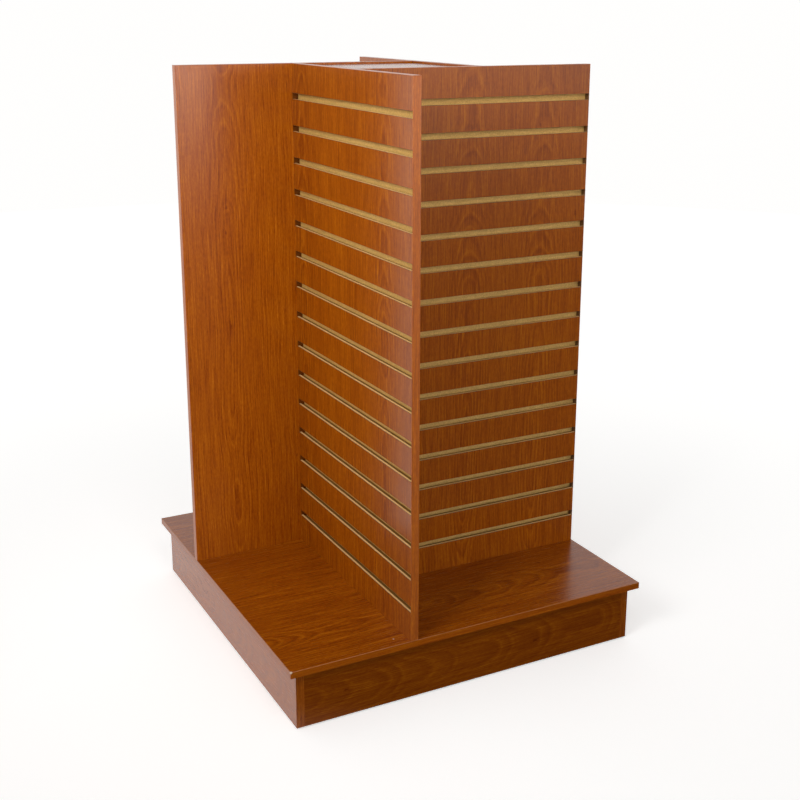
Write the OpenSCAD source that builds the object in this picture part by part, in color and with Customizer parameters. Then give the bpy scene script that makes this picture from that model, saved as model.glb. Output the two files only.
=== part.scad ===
// Four-way slatwall display unit, in millimetres.
// Four grooved boards stand in a pinwheel on a square deck with a recessed kick.
// The origin is on the floor under the middle of the deck, +Z up, +X right, +Y to the back.

/* [Base] */
// Side of the square deck
deck_w = 914.4; // [880:0.1:1100]
// Thickness of the deck board
deck_t = 15.875; // [15:0.005:25]
// Height of the kick boards
kick_h = 133.35; // [120:0.05:180]
// Thickness of the kick boards
kick_t = 19.05; // [16:0.05:22]
// How far the deck stands out past the kick
deck_overhang = 19.05; // [10:0.05:40]
// Gap under the kick with the feet screwed right in
floor_gap = 3.175; // [2.5:0.005:6]
// Thickness of the centre stretcher under the deck
stretcher_t = 19.05; // [16:0.05:25]
// Thickness of the edge banding
band_t = 1; // [0.5:0.1:3]

/* [Slatwall boards] */
// Height of each board above the deck
panel_h = 1219.2; // [900:0.1:1400]
// Thickness of each board
panel_t = 19.05; // [19:0.05:22]
// Clear width of the square core between the boards
core_w = 304.8; // [290:0.1:330]
// Distance between grooves
groove_pitch = 76.2; // [70:0.1:110]
// Top of a board down to its first groove
groove_drop = 76.2; // [70:0.1:100]
// Least height left between the last groove and the deck
groove_foot = 60; // [55:0.5:75]
// Height of a groove where it opens on the face
throat_h = 14; // [12:0.1:15]
// Height of a groove behind its lips
cavity_h = 22; // [20:0.1:26]
// Thickness of the lips
lip_t = 5.5; // [5:0.1:6.4]
// Depth of a groove from the face
groove_depth = 15; // [14.6:0.05:16]

/* [Top cap] */
// Thickness of the cap
cap_t = 15.875; // [12:0.005:19.05]
// How far the cap lies below the tops of the boards
cap_recess = 5; // [2:0.5:14]
// Clearance around the cap
cap_gap = 0.6; // [0.3:0.1:2]
// Side of the square cleats that carry the cap
cleat_w = 19.05; // [16:0.05:25]

/* [Corner blocks and feet] */
// Side of the square corner blocks
block_w = 50; // [48:0.5:60]
// Bottom of the corner blocks above the floor
block_lift = 16; // [16:0.5:18]
// Centre of a foot from the kick's inner faces
foot_inset = 20; // [18:0.5:22]
// Radius of the foot's pad
pad_r = 16; // [13:0.5:17]
// Thickness of the pad's disc
pad_t = 5; // [4:0.1:5.5]
// Radius of the threaded stem
stem_r = 3.97; // [3.5:0.01:4.2]
// How far a foot screws out
foot_travel = 12; // [6:0.5:14]
// Length of stem left above its nut when the foot is right out
stem_spare = 17; // [10:0.5:20]

/* [Fasteners] */
// Radius of the dowels
dowel_r = 4; // [3:0.1:5]
// Length of the dowels
dowel_len = 30; // [24:0.5:32]
// Radius of a cam housing
cam_r = 7.5; // [6:0.1:9]
// Depth of a cam housing
cam_depth = 12.5; // [11:0.1:13]
// Centre of a cam from the board's inner end
cam_inset = 34; // [24:0.5:40]
// Radius of a cam bolt
bolt_r = 3; // [2.5:0.05:3.2]
// Depth that a cam bolt screws into the next board
bolt_bite = 11; // [8:0.1:12]
// Radius of a board screw's shank
panel_screw_r = 2.5; // [2:0.1:3]
// Length of a board screw under its head
panel_screw_len = 60; // [40:0.5:65]
// Radius of the small wood screws
screw_r = 2; // [1.5:0.1:2.5]
// Radial clearance around fasteners in their holes
fit_gap = 0.15; // [0.05:0.05:0.3]
// Radial clearance of a stem in its threaded nut
thread_gap = 0.05; // [0.02:0.01:0.1]

/* [Hidden] */
$fn = 48;

deck_under = floor_gap + kick_h;
deck_top = deck_under + deck_t;
panel_top = deck_top + panel_h;
half_deck = deck_w / 2;
half_core = core_w / 2;
half_kick = half_deck - deck_overhang;
kick_in = half_kick - kick_t;

// A board in the front place: its grooved face looks along -X and its plain face is at -half_core
face_x = -half_core - panel_t;
back_t = panel_t - groove_depth;
rib_t = groove_depth - lip_t;
board_end = -half_deck + band_t;
board_len = half_core - board_end;
board_top = panel_top - band_t;
board_h = board_top - deck_top;
board_mid = panel_t / 2;
groove_n = floor((panel_h - groove_drop - groove_foot) / groove_pitch) + 1;

// Slats that take a joint with the next board: near the top, the middle and near the bottom
joint_slats = [1, floor(groove_n / 2), groove_n - 2];
joint_end_gap = 0.3;
cam_slot_w = 1.6;
cam_slot_depth = 1.5;
cam_slot_half = cam_r * 0.6;

// Screws that hold a board to the deck, along the board
screw_setback = 60;
panel_screw_y = [-half_deck + screw_setback, -half_core, half_core - screw_setback];
screw_head_r = 5;
screw_head_t = 3;

// The cap and its cleats
cap_top = panel_top - cap_recess;
cap_under = cap_top - cap_t;
cleat_z = cap_under - cleat_w;
cleat_end_gap = 2;
cleat_screw_first = 68.6;
cleat_screw_last = 61;
cleat_screw_y = [-half_core + cleat_screw_first, half_core - cleat_screw_last];
cleat_screw_bite = 11;
small_head_r = 3.6;
small_head_t = 2.2;

// The kick frame's dowels and the screws of the corner blocks
dowel_z = [floor_gap + kick_h * 0.28, floor_gap + kick_h * 0.72];
block_screw_z = [floor_gap + kick_h * 0.5, floor_gap + kick_h * 0.86];
dowel_side = 10;
block_screw_off = 10;
block_screw_bite = 12;
deck_screw_off = 41;
deck_screw_len = 40;
deck_screw_bite = 12;
deck_screw_bore = 6;

// The foot: pad, stem with a hexagon, and the nut in the corner block
socket_floor = 3;
pad_edge = 1;
pad_neck_h = 4;
pad_neck_r = 9;
pad_neck_top = pad_t + pad_neck_h;
hex_gap = 0.3;
hex_r = 7.5;
nut_flange_r = 11;
nut_flange_t = 1.5;
hex_low = pad_neck_top + hex_gap;
hex_high = block_lift - nut_flange_t - hex_gap;
nut_barrel_r = 5.4;
nut_len = 10;
stem_side_room = 1;
stem_top_room = 6;
stem_top = block_lift + nut_len + foot_travel + stem_spare;
foot_at = kick_in - foot_inset;

// Height of groove k, counted from 1 at the top
function groove_z(k) = panel_top - groove_drop - (k - 1) * groove_pitch;
// Top and bottom of slat i, counted from 0 at the top, between gaps of height gap_h
function slat_top(i, gap_h) = i == 0 ? board_top : groove_z(i) - gap_h / 2;
function slat_bottom(i, gap_h) = i == groove_n ? deck_top : groove_z(i + 1) + gap_h / 2;
function slat_mid(i) = groove_z(i) - groove_pitch / 2;

// Turns a piece from the front place to place i: 0 front, 1 right, 2 back, 3 left
module place(i) {
    rotate([0, 0, 90 * i]) children();
}

module all_places() {
    for (i = [0 : 3]) place(i) children();
}

// A round bar from the given point, of the given length along -X, +Y or +Z
module bar_x(r, len) { rotate([0, -90, 0]) cylinder(h = len, r = r); }
module bar_y(r, len) { rotate([-90, 0, 0]) cylinder(h = len, r = r); }
module bar_z(r, len) { cylinder(h = len, r = r); }

// Everything drilled into a board from its plain face and its inner end
module board_drilling() {
    for (s = joint_slats) {
        translate([-half_core + 1, half_core - cam_inset, slat_mid(s)])
            bar_x(cam_r + fit_gap, cam_depth + 1 + joint_end_gap);
        translate([-half_core - board_mid, half_core - cam_inset, slat_mid(s)])
            bar_y(bolt_r + fit_gap, cam_inset + 1);
        translate([-half_core + 1, -half_core - board_mid, slat_mid(s)])
            bar_x(bolt_r + fit_gap, bolt_bite + 1 + joint_end_gap);
    }
    for (y = cleat_screw_y)
        translate([-half_core + 1, y, cleat_z + cleat_w / 2])
            bar_x(screw_r + fit_gap, cleat_screw_bite + 1 + joint_end_gap);
    for (y = panel_screw_y)
        translate([-half_core - board_mid, y, deck_top - 1])
            bar_z(panel_screw_r + fit_gap, panel_screw_len - deck_t + 1 + joint_end_gap);
}

// The uncut layer of a board behind its grooves, with the plain laminated face
module board_back(i) {
    place(i) color([0.62, 0.29, 0.11]) difference() {
        translate([-half_core - back_t, board_end, deck_top]) cube([back_t, board_len, board_h]);
        board_drilling();
    }
}

// The layer between the grooves, as deep as the space behind the lips
module board_ribs(i) {
    place(i) color([0.76, 0.60, 0.36]) difference() {
        for (s = [0 : groove_n])
            translate([face_x + lip_t, board_end, slat_bottom(s, cavity_h)])
                cube([rib_t, board_len, slat_top(s, cavity_h) - slat_bottom(s, cavity_h)]);
        board_drilling();
    }
}

// The laminated face layer, cut into slats by the groove throats
module board_slats(i) {
    place(i) color([0.58, 0.26, 0.09])
        for (s = [0 : groove_n])
            translate([face_x, board_end, slat_bottom(s, throat_h)])
                cube([lip_t, board_len, slat_top(s, throat_h) - slat_bottom(s, throat_h)]);
}

// Banding on a board's outer end, which also closes its grooves
module board_end_band(i) {
    place(i) color([0.50, 0.22, 0.10])
        translate([face_x, -half_deck, deck_top]) cube([panel_t, band_t, board_h]);
}

module board_top_band(i) {
    place(i) color([0.66, 0.42, 0.33])
        translate([face_x, -half_deck, board_top]) cube([panel_t, board_len + band_t, band_t]);
}

module board_screws() {
    color("silver") all_places()
        for (y = panel_screw_y) translate([-half_core - board_mid, y, deck_under]) {
            bar_z(panel_screw_r, panel_screw_len);
            translate([0, 0, -screw_head_t]) bar_z(screw_head_r, screw_head_t);
        }
}

// A cam bolt runs from its cam through the board's end into the next board
module cam_bolts() {
    color("silver") all_places()
        for (s = joint_slats)
            translate([-half_core - board_mid, half_core - cam_inset, slat_mid(s)])
                bar_y(bolt_r, cam_inset + bolt_bite);
}

// A cam disc, open on the side where the bolt comes in
module cam_discs() {
    bolt_room = bolt_r + fit_gap;
    color("gainsboro") all_places()
        for (s = joint_slats) translate([-half_core, half_core - cam_inset, slat_mid(s)])
            difference() {
                bar_x(cam_r, cam_depth);
                translate([-board_mid, -fit_gap, 0]) bar_y(bolt_room, cam_r + 1);
                translate([-cam_slot_depth, -cam_slot_half, -cam_slot_w / 2])
                    cube([cam_slot_depth + 1, 2 * cam_slot_half, cam_slot_w]);
            }
}

module deck() {
    side = deck_w - 2 * band_t;
    color([0.55, 0.25, 0.07]) difference() {
        translate([-side / 2, -side / 2, deck_under]) cube([side, side, deck_t]);
        all_places()
            for (y = panel_screw_y)
                translate([-half_core - board_mid, y, deck_under - 1])
                    bar_z(panel_screw_r + fit_gap, deck_t + 2);
        all_places()
            translate([-kick_in + deck_screw_off, -kick_in + deck_screw_off, deck_under - 1])
                bar_z(screw_r + fit_gap, deck_screw_bite + 1 + joint_end_gap);
    }
}

// Deck banding: the front and back strips cover the ends of the side strips
module deck_band(i) {
    len = i % 2 == 0 ? deck_w : deck_w - 2 * band_t;
    place(i) color([0.50, 0.22, 0.10])
        translate([-len / 2, -half_deck, deck_under]) cube([len, band_t, deck_t]);
}

module kick_dowel_holes() {
    for (sx = [-1, 1], sy = [-1, 1], z = dowel_z)
        translate([sx * (kick_in - dowel_len + dowel_side - joint_end_gap),
                   sy * (half_kick - kick_t / 2), z])
            rotate([0, sx * 90, 0])
                cylinder(h = dowel_len + 2 * joint_end_gap, r = dowel_r + fit_gap);
    for (sx = [-1, 1], z = dowel_z)
        translate([sx * (kick_in - dowel_len + dowel_side - joint_end_gap), 0, z])
            rotate([0, sx * 90, 0])
                cylinder(h = dowel_len + 2 * joint_end_gap, r = dowel_r + fit_gap);
}

module kick_dowels() {
    color("burlywood")
        for (sx = [-1, 1], y = [-half_kick + kick_t / 2, 0, half_kick - kick_t / 2], z = dowel_z)
            translate([sx * (kick_in - dowel_len + dowel_side), y, z])
                rotate([0, sx * 90, 0]) cylinder(h = dowel_len, r = dowel_r);
}

// Screws from the corner blocks into the kick boards, as holes or as solids
module block_screw_set(extra) {
    for (i = [0 : 3]) place(i) {
        // along -X into the board on that side
        translate([-kick_in + block_w - small_head_t, -kick_in + block_screw_off, block_screw_z[0]])
            bar_x(screw_r + extra, block_w - small_head_t + block_screw_bite + extra);
        // along -Y into the board in front
        translate([-kick_in + block_screw_off, -kick_in + block_w - small_head_t, block_screw_z[1]])
            rotate([90, 0, 0])
                cylinder(h = block_w - small_head_t + block_screw_bite + extra, r = screw_r + extra);
        translate([-kick_in + block_w + extra, -kick_in + block_screw_off, block_screw_z[0]])
            bar_x(small_head_r + extra, small_head_t + 2 * extra);
        translate([-kick_in + block_screw_off, -kick_in + block_w + extra, block_screw_z[1]])
            rotate([90, 0, 0]) cylinder(h = small_head_t + 2 * extra, r = small_head_r + extra);
    }
}

module block_screws() {
    color("silver") block_screw_set(0);
}

module kick_side(s) {
    color([0.50, 0.24, 0.12]) difference() {
        translate([s > 0 ? kick_in : -half_kick, -half_kick + band_t, floor_gap])
            cube([kick_t, 2 * (half_kick - band_t), kick_h]);
        kick_dowel_holes();
        block_screw_set(fit_gap);
    }
}

module kick_end(s) {
    color([0.36, 0.16, 0.05]) difference() {
        translate([-kick_in, s > 0 ? kick_in : -half_kick, floor_gap])
            cube([2 * kick_in, kick_t, kick_h]);
        kick_dowel_holes();
        block_screw_set(fit_gap);
    }
}

module kick_end_bands() {
    color([0.45, 0.20, 0.09])
        for (sx = [-1, 1], sy = [-1, 1])
            translate([sx > 0 ? kick_in : -half_kick,
                       sy > 0 ? half_kick - band_t : -half_kick, floor_gap])
                cube([kick_t, band_t, kick_h]);
}

module centre_stretcher() {
    color("tan") difference() {
        translate([-kick_in, -stretcher_t / 2, floor_gap]) cube([2 * kick_in, stretcher_t, kick_h]);
        kick_dowel_holes();
    }
}

// A corner block in the front left corner: it ties the kick boards, holds the nut and takes the
// screw that pulls the deck down
module corner_block(i) {
    place(i) color("burlywood") difference() {
        translate([-kick_in, -kick_in, block_lift]) cube([block_w, block_w, deck_under - block_lift]);
        translate([-foot_at, -foot_at, block_lift - 1]) bar_z(nut_barrel_r + fit_gap, nut_len + 1);
        translate([-foot_at, -foot_at, block_lift])
            bar_z(stem_r + stem_side_room, stem_top + stem_top_room - block_lift);
        translate([-kick_in + deck_screw_off, -kick_in + deck_screw_off, block_lift - 1]) {
            bar_z(screw_r + fit_gap, deck_under - block_lift + 2);
            bar_z(deck_screw_bore, deck_under + deck_screw_bite - deck_screw_len - block_lift + 1);
        }
        rotate([0, 0, -90 * i]) block_screw_set(fit_gap);
    }
}

module deck_screws() {
    seat = deck_under + deck_screw_bite - deck_screw_len;
    color("silver") all_places()
        translate([-kick_in + deck_screw_off, -kick_in + deck_screw_off, seat]) {
            bar_z(screw_r, deck_screw_len);
            translate([0, 0, -small_head_t]) bar_z(small_head_r, small_head_t);
        }
}

// Flanged nuts pressed into the corner blocks from below
module foot_nuts() {
    color("goldenrod") all_places() translate([-foot_at, -foot_at, block_lift]) difference() {
        union() {
            bar_z(nut_barrel_r, nut_len);
            translate([0, 0, -nut_flange_t]) bar_z(nut_flange_r, nut_flange_t);
        }
        translate([0, 0, -nut_flange_t - 1]) bar_z(stem_r + thread_gap, nut_len + nut_flange_t + 2);
    }
}

module foot_stem(i) {
    place(i) color("silver") translate([-foot_at, -foot_at, socket_floor]) {
        bar_z(stem_r, stem_top - socket_floor);
        translate([0, 0, hex_low - socket_floor])
            cylinder(h = hex_high - hex_low, r = hex_r, $fn = 6);
    }
}

module foot_pad(i) {
    edge = pad_edge;
    place(i) color([0.12, 0.12, 0.12]) translate([-foot_at, -foot_at, 0]) difference() {
        rotate_extrude() polygon([
            [0, 0], [pad_r - edge, 0], [pad_r, edge], [pad_r, pad_t - edge], [pad_r - edge, pad_t],
            [pad_neck_r, pad_t], [pad_neck_r, pad_neck_top], [0, pad_neck_top]
        ]);
        translate([0, 0, socket_floor]) bar_z(stem_r + thread_gap, pad_neck_top);
    }
}

module top_cap() {
    side = core_w - 2 * cap_gap;
    color([0.60, 0.30, 0.14])
        translate([-side / 2, -side / 2, cap_under]) cube([side, side, cap_t]);
}

// A cleat on the plain face of a board. It starts clear of the next cleat's side.
module cap_cleat(i) {
    start = -half_core + cleat_w + cleat_end_gap;
    place(i) color("burlywood") difference() {
        translate([-half_core, start, cleat_z])
            cube([cleat_w, half_core - cleat_end_gap - start, cleat_w]);
        for (y = cleat_screw_y) translate([-half_core + cleat_w + 1, y, cleat_z + cleat_w / 2]) {
            bar_x(screw_r + fit_gap, cleat_w + 2);
            bar_x(small_head_r + fit_gap, small_head_t + 1 + fit_gap);
        }
    }
}

module cleat_screws() {
    color("silver") all_places()
        for (y = cleat_screw_y) translate([-half_core + cleat_w, y, cleat_z + cleat_w / 2]) {
            bar_x(screw_r, cleat_w + cleat_screw_bite);
            bar_x(small_head_r, small_head_t);
        }
}

deck();
deck_band(0);  // deck_band_front
deck_band(1);  // deck_band_right
deck_band(2);  // deck_band_back
deck_band(3);  // deck_band_left
kick_side(-1);  // kick_left
kick_side(1);  // kick_right
kick_end(-1);  // kick_front
kick_end(1);  // kick_back
kick_end_bands();
centre_stretcher();
kick_dowels();
corner_block(0);  // corner_block_front_left
corner_block(1);  // corner_block_front_right
corner_block(2);  // corner_block_back_right
corner_block(3);  // corner_block_back_left
block_screws();
deck_screws();
foot_nuts();
foot_stem(0);  // foot_stem_front_left
foot_stem(1);  // foot_stem_front_right
foot_stem(2);  // foot_stem_back_right
foot_stem(3);  // foot_stem_back_left
foot_pad(0);  // foot_pad_front_left
foot_pad(1);  // foot_pad_front_right
foot_pad(2);  // foot_pad_back_right
foot_pad(3);  // foot_pad_back_left
board_back(0);  // front_board_back
board_ribs(0);  // front_board_ribs
board_slats(0);  // front_board_slats
board_back(1);  // right_board_back
board_ribs(1);  // right_board_ribs
board_slats(1);  // right_board_slats
board_back(2);  // back_board_back
board_ribs(2);  // back_board_ribs
board_slats(2);  // back_board_slats
board_back(3);  // left_board_back
board_ribs(3);  // left_board_ribs
board_slats(3);  // left_board_slats
board_end_band(0);  // front_board_end_band
board_end_band(1);  // right_board_end_band
board_end_band(2);  // back_board_end_band
board_end_band(3);  // left_board_end_band
board_top_band(0);  // front_board_top_band
board_top_band(1);  // right_board_top_band
board_top_band(2);  // back_board_top_band
board_top_band(3);  // left_board_top_band
board_screws();
cam_bolts();
cam_discs();
top_cap();
cap_cleat(0);  // cap_cleat_front
cap_cleat(1);  // cap_cleat_right
cap_cleat(2);  // cap_cleat_back
cap_cleat(3);  // cap_cleat_left
cleat_screws();
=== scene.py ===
import bmesh
import bpy
import math
from mathutils import Matrix, Vector


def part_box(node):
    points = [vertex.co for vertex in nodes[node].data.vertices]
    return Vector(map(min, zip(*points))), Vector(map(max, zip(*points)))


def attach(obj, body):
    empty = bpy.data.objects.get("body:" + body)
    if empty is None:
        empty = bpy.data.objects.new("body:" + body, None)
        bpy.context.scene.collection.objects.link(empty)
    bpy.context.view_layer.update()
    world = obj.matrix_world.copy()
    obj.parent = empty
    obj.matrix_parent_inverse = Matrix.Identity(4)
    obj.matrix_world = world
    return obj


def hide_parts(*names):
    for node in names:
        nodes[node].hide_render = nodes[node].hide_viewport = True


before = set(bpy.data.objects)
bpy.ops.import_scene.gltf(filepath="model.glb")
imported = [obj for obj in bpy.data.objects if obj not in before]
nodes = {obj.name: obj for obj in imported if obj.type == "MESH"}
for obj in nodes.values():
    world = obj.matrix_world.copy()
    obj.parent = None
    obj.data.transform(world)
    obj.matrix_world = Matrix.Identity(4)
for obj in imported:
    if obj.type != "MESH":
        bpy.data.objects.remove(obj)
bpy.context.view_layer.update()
print("frame loaded:", len(nodes), "nodes")

mainBody = "base_and_boards"
sides = ["front", "right", "back", "left"]
corners = ["front_left", "front_right", "back_right", "back_left"]
sideways, forwards, upwards = Vector((1, 0, 0)), Vector((0, 1, 0)), Vector((0, 0, 1))
nearly = 1e-5  # metres within which two places count as one

# The front board, which quarter turns repeat on the other sides
boardLow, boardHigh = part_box("front_board_back")
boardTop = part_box("front_board_top_band")[1].z
faceX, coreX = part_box("front_board_slats")[0].x, boardHigh.x
middleX = (faceX + coreX) / 2
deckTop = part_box("deck")[1].z


def placeObject(name, data):
    thing = bpy.data.objects.new(name, data)
    bpy.context.scene.collection.objects.link(thing)
    return thing


def placeMesh(name, bm, materials):
    mesh = bpy.data.meshes.new(name)
    bm.to_mesh(mesh)
    bm.free()
    for material in materials:
        mesh.materials.append(material)
    return placeObject(name, mesh)


# Camera, floor and lights

cameraSettings = {
    "eye": (-1.3203, -2.6092, 1.4964),
    "yaw": 27.823,  # degrees from +Y towards +X
    "pitch": -15.285,
    "roll": 0.164,
    "lens": 55.35,
    "sensor": 36,
    "shiftX": -0.0081,
    "shiftY": -0.069,
}


def placeCamera():
    yaw, pitch, roll = (math.radians(cameraSettings[k]) for k in ("yaw", "pitch", "roll"))
    data = bpy.data.cameras.new("camera")
    data.lens, data.sensor_width = cameraSettings["lens"], cameraSettings["sensor"]
    data.shift_x, data.shift_y = cameraSettings["shiftX"], cameraSettings["shiftY"]
    camera = placeObject("camera", data)
    pose = Matrix.Translation(cameraSettings["eye"])
    for angle, axis in ((-yaw, "Z"), (math.pi / 2 + pitch, "X"), (roll, "Z")):
        pose @= Matrix.Rotation(angle, 4, axis)
    camera.matrix_world = pose
    bpy.context.scene.camera = camera


lightSettings = {
    # strength of the white round the unit by the height of the direction, behind and in front of it
    "backSky": [(-0.25, 1.0), (0.0, 1.3), (0.12, 1.3), (0.5, 0.75), (1.0, 0.2)],
    "frontSky": [(-0.18, 0.03), (-0.08, 0.5), (-0.02, 1.9), (0.04, 2.7), (0.1, 1.8), (0.17, 0.15),
                 (1.0, 0.15)],
    "skyFoot": -0.25,  # the lowest of these heights
    "brightest": 2.7,
    "front": (0.42, -0.91, 0.0),
    "frontTurn": (-0.1, 0.5),  # where the white of the back changes into that of the front
    "glow": (0.208, -0.975, 0.075),  # a brighter patch low in front, mirrored on the left board
    "glowEdge": (0.972, 0.998),
    "glowStrength": 5.6,
    "white": (1.0, 0.995, 0.985),
    # name: place, point it looks at, width, height, watts, spread in degrees
    "panels": {
        "left_softbox": ((-2.1, -1.25, 2.15), (-0.2, -0.1, 1.15), 1.0, 1.0, 6.3, 66),
        "front_softbox": ((1.2, -3.2, 2.0), (0.0, 0.0, 1.1), 1.6, 1.2, 1.9, 150),
        "bay_softbox": ((-0.63, -1.9, 2.15), (-0.3, 0.1, 1.1), 0.7, 0.7, 6.7, 120),
    },
}
floorSettings = {
    "radius": 7,
    "paper": (0.86, 0.855, 0.85),
    "roughness": 0.8,
    "gloss": 0.1,
    "fade": (0.5, 2.2),  # the paper turns into a white sweep between these distances
    "nearLift": 0.5,  # how far the paper is washed out where it is seen or mirrored
    "mirrored": 0.85,  # strength of the sweep in reflections
    "bounced": 0.45,  # and as light on the unit
    "darkFloor": 0.06,  # what is left of the floor in front, which falls outside the picture
    "darkFrom": (0.16, 0.34),
}


def whiteRound(tree, direction):
    # the white round the unit: bright behind and at the horizon, dim overhead and low in front
    foot, brightest = lightSettings["skyFoot"], lightSettings["brightest"]
    rise = calc(tree, "DIVIDE", calc(tree, "SUBTRACT", heightOf(tree, direction), foot), 1 - foot)
    skies = []
    for key in ("backSky", "frontSky"):
        stops = [((at - foot) / (1 - foot), (lit / brightest,) * 3) for at, lit in lightSettings[key]]
        skies.append(ramp(tree, rise, stops))
    share = between(tree, alongAxis(tree, direction, lightSettings["front"]), *lightSettings["frontTurn"])
    sky = calc(tree, "MULTIPLY", blend(tree, share, *skies), brightest)
    glow = between(tree, alongAxis(tree, direction, lightSettings["glow"]), *lightSettings["glowEdge"])
    return calc(tree, "MULTIPLY_ADD", glow, lightSettings["glowStrength"], sky)


def lightStage():
    scene = bpy.context.scene
    scene.view_settings.view_transform = "Standard"
    world = bpy.data.worlds.new("studio")
    world.use_nodes = True
    tree = world.node_tree
    sky = tree.nodes["Background"]
    sky.inputs["Color"].default_value = (*lightSettings["white"], 1)
    lit = whiteRound(tree, add(tree, "TexCoord").outputs["Generated"])
    seen = add(tree, "LightPath").outputs["Is Camera Ray"]
    tree.links.new(blend(tree, seen, lit, 1.0), sky.inputs["Strength"])
    scene.world = world
    for name, (place, target, width, height, watts, spread) in lightSettings["panels"].items():
        data = bpy.data.lights.new(name, "AREA")
        data.shape, data.size, data.size_y, data.energy = "RECTANGLE", width, height, watts
        data.spread = math.radians(spread)
        panel = placeObject(name, data)
        panel.location = place
        panel.rotation_euler = (Vector(target) - Vector(place)).to_track_quat("-Z", "Y").to_euler()
        panel.visible_camera = False
        panel.visible_glossy = False


def makeFloor():
    bm = bmesh.new()
    bmesh.ops.create_circle(bm, cap_ends=True, radius=floorSettings["radius"], segments=96)
    placeMesh("floor", bm, [makeFloorPaper()])


# Node tools for the materials


def add(tree, kind, feeds=None, **settings):
    node = tree.nodes.new("ShaderNode" + kind)
    for key, value in settings.items():
        setattr(node, key, value)
    for key, value in (feeds or {}).items():
        if isinstance(value, bpy.types.NodeSocket):
            tree.links.new(value, node.inputs[key])
        else:
            node.inputs[key].default_value = value
    return node


def calc(tree, operation, *values):
    return add(tree, "Math", dict(enumerate(values)), operation=operation).outputs[0]


def between(tree, value, low, high, newLow=0.0, newHigh=1.0):
    feeds = {"Value": value, "From Min": low, "From Max": high, "To Min": newLow, "To Max": newHigh}
    return add(tree, "MapRange", feeds, interpolation_type="SMOOTHSTEP").outputs[0]


def blend(tree, share, first, second):
    return add(tree, "Mix", {0: share, 2: first, 3: second}).outputs[0]


def overlay(tree, mask, colour, other):
    return add(tree, "Mix", {0: mask, 6: colour, 7: (*other, 1)}, data_type="RGBA").outputs[2]


def ramp(tree, value, stops):
    node = add(tree, "ValToRGB", {"Fac": value})
    while len(node.color_ramp.elements) < len(stops):
        node.color_ramp.elements.new(0.5)
    for element, (place, colour) in zip(node.color_ramp.elements, stops):
        element.position, element.color = place, (*colour, 1)
    return node.outputs[0]


def alongAxis(tree, place, axis):
    return add(tree, "VectorMath", {0: place, 1: axis}, operation="DOT_PRODUCT").outputs["Value"]


def heightOf(tree, place):
    return add(tree, "SeparateXYZ", {0: place}).outputs[2]


def distance(tree, *offs):
    return calc(tree, "SQRT", calc(tree, "ADD", *(calc(tree, "POWER", off, 2.0) for off in offs)))


def speckle(tree, place, detail=2.0, rough=0.5):
    feeds = {"Vector": place, "Scale": 1.0, "Detail": detail, "Roughness": rough}
    return add(tree, "TexNoise", feeds).outputs[0]


def spots(tree, place, rate, upRate=None, detail=2.0, rough=0.5):
    # speckle at a rate to the metre, and perhaps at another going up
    scale = (rate, rate, upRate or rate)
    return speckle(tree, add(tree, "Mapping", {"Vector": place, "Scale": scale}).outputs[0], detail, rough)


def newGroup(name, takes, gives):
    tree = bpy.data.node_groups.new(name, "ShaderNodeTree")
    for label, kind in takes.items():
        tree.interface.new_socket(label, in_out="INPUT", socket_type="NodeSocket" + kind)
    for label, kind in gives.items():
        tree.interface.new_socket(label, in_out="OUTPUT", socket_type="NodeSocket" + kind)
    return tree, tree.nodes.new("NodeGroupInput").outputs, tree.nodes.new("NodeGroupOutput").inputs


def placeGroup(tree, group, feeds):
    return add(tree, "Group", feeds, node_tree=group).outputs


def newMaterial(name, roughness, metallic=0.0):
    material = bpy.data.materials.new(name)
    material.use_nodes = True
    tree = material.node_tree
    shader = tree.nodes["Principled BSDF"]
    shader.inputs["Roughness"].default_value = roughness
    shader.inputs["Metallic"].default_value = metallic
    place = add(tree, "TexCoord").outputs["Object"]
    return material, tree, shader, place


def bumpFrom(tree, shader, height, strength, depth):
    bump = add(tree, "Bump", {"Height": height, "Strength": strength, "Distance": depth})
    tree.links.new(bump.outputs[0], shader.inputs["Normal"])


def makeFloorPaper():
    # Lit paper near the unit that turns into an evenly white sweep further out. In front, where
    # the picture doesn't show it, the studio floor is dark.
    look = floorSettings
    material, tree, shader, place = newMaterial("floorPaper", look["roughness"])
    shader.inputs["Specular IOR Level"].default_value = look["gloss"]
    shader.inputs["Emission Color"].default_value = (*lightSettings["white"], 1)
    rays = add(tree, "LightPath").outputs
    seen, mirrored = rays["Is Camera Ray"], rays["Is Glossy Ray"]
    dark = between(tree, alongAxis(tree, place, lightSettings["front"]), *look["darkFrom"])
    dark = calc(tree, "MULTIPLY", dark, calc(tree, "SUBTRACT", 1.0, seen))
    light = calc(tree, "SUBTRACT", 1.0, calc(tree, "MULTIPLY", dark, 1.0 - look["darkFloor"]))
    away = add(tree, "VectorMath", {0: place}, operation="LENGTH").outputs["Value"]
    share = between(tree, away, *look["fade"])
    paper = calc(tree, "MULTIPLY", calc(tree, "SUBTRACT", 1.0, share), light)
    stops = [(0.0, (0.0, 0.0, 0.0)), (1.0, look["paper"])]
    tree.links.new(ramp(tree, paper, stops), shader.inputs["Base Color"])
    near = calc(tree, "MULTIPLY", calc(tree, "MAXIMUM", seen, mirrored), look["nearLift"])
    far = blend(tree, mirrored, look["bounced"], look["mirrored"])
    far = blend(tree, seen, far, 1.0)
    glow = calc(tree, "MULTIPLY", blend(tree, share, near, far), light)
    tree.links.new(glow, shader.inputs["Emission Strength"])
    return material


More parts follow.
